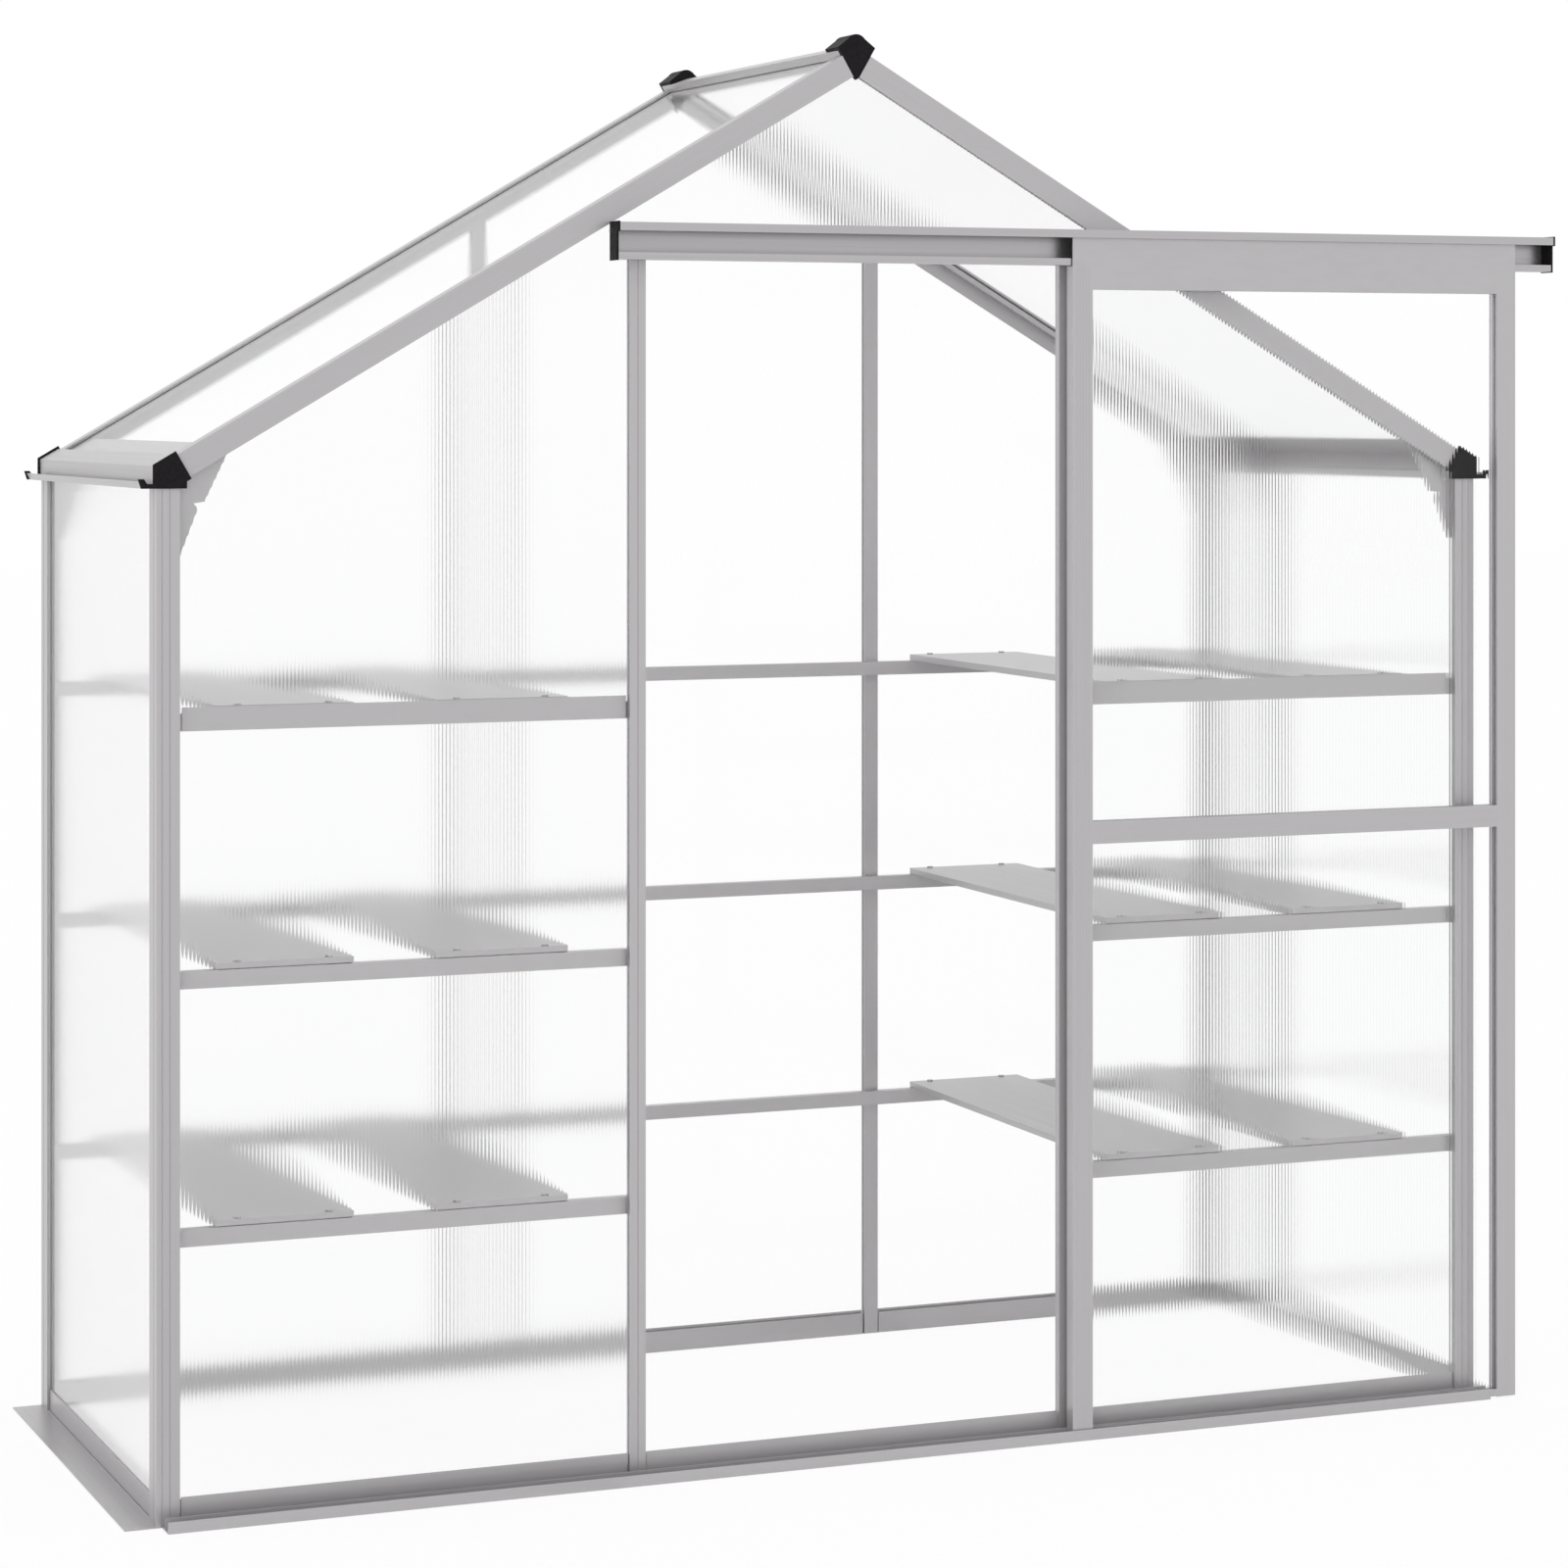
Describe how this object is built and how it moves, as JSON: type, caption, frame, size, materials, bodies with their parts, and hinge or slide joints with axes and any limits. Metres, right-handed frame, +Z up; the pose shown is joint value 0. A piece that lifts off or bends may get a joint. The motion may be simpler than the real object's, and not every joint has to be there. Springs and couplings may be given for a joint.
{
  "type": "walk-in greenhouse",
  "caption": "Small walk-in greenhouse with an aluminium frame, twin-wall clear sheets, a pitched roof, inner shelves and a sliding door on an overhead track.",
  "frame": {"origin": "on the ground under the centre of the bounding box with the door in its pictured open place", "axes": "+X to the right along the front as seen from outside, +Y from the front to the back, +Z up"},
  "size_m": [2.0524, 0.7578, 1.8981],
  "materials": {
    "aluminium": "satin mill",
    "clear_sheet": "clear",
    "black_plastic": "matte",
    "nylon": "matte",
    "steel": "zinc plated"
  },
  "bodies": {
    "house": {"back_left_post": "aluminium", "back_left_rafter": "aluminium", "back_left_sheet": "clear_sheet", "back_middle_sheet": "clear_sheet", "back_right_post": "aluminium", "back_right_rafter": "aluminium", "back_right_sheet": "clear_sheet", "back_shelf_rails": "aluminium", "back_sill": "aluminium", "board_screws": "steel", "door_track": "aluminium", "eave_caps": "black_plastic", "eave_gussets": "aluminium", "front_gable_sheet": "clear_sheet", "front_left_post": "aluminium", "front_left_rafter": "aluminium", "front_left_sheet": "clear_sheet", "front_right_post": "aluminium", "front_right_rafter": "aluminium", "front_right_sheet": "clear_sheet", "front_sill": "aluminium", "gable_rail": "aluminium", "gusset_bolts": "steel", "left_back_mullion": "aluminium", "left_base_rail": "aluminium", "left_door_jamb": "aluminium", "left_eave_beam": "aluminium", "left_roof_sheet": "clear_sheet", "left_shelf_rail_high": "aluminium", "left_shelf_rail_low": "aluminium", "left_shelf_rail_mid": "aluminium", "left_side_sheet": "clear_sheet", "ridge_beam": "aluminium", "ridge_caps": "black_plastic", "right_back_mullion": "aluminium", "right_base_rail": "aluminium", "right_door_jamb": "aluminium", "right_eave_beam": "aluminium", "right_roof_sheet": "clear_sheet", "right_shelf_rail_high": "aluminium", "right_shelf_rail_low": "aluminium", "right_shelf_rail_mid": "aluminium", "right_side_sheet": "clear_sheet", "shelf_boards_high": "aluminium", "shelf_boards_low": "aluminium", "shelf_boards_mid": "aluminium", "shelf_edge_strips": "aluminium", "track_end_caps": "black_plastic"},
    "door": {"door_bottom_rail": "aluminium", "door_hanger_plate": "aluminium", "door_left_stile": "aluminium", "door_lower_sheet": "clear_sheet", "door_mid_rail": "aluminium", "door_right_stile": "aluminium", "door_roller_axles": "steel", "door_shoes": "nylon", "door_top_rail": "aluminium", "door_upper_sheet": "clear_sheet"},
    "left_roller": {"door_left_roller": "nylon"},
    "right_roller": {"door_right_roller": "nylon"}
  },
  "joints": [
    {"name": "door_slide", "type": "slide", "parent": "house", "child": "door", "axis": [1, 0, 0], "range_m": [-0.648, 0.055]},
    {"name": "left_roller_spin", "type": "hinge", "parent": "door", "child": "left_roller", "pos_m": [0.3282, -0.3625, 1.60754], "axis": [0, 1, 0], "continuous": true},
    {"name": "right_roller_spin", "type": "hinge", "parent": "door", "child": "right_roller", "pos_m": [0.9022, -0.3625, 1.60754], "axis": [0, 1, 0], "continuous": true}
  ],
  "couplings": [
    {"joint": "left_roller_spin", "follows": "door_slide", "rad_per_m": 76.923},
    {"joint": "right_roller_spin", "follows": "door_slide", "rad_per_m": 76.923}
  ]
}
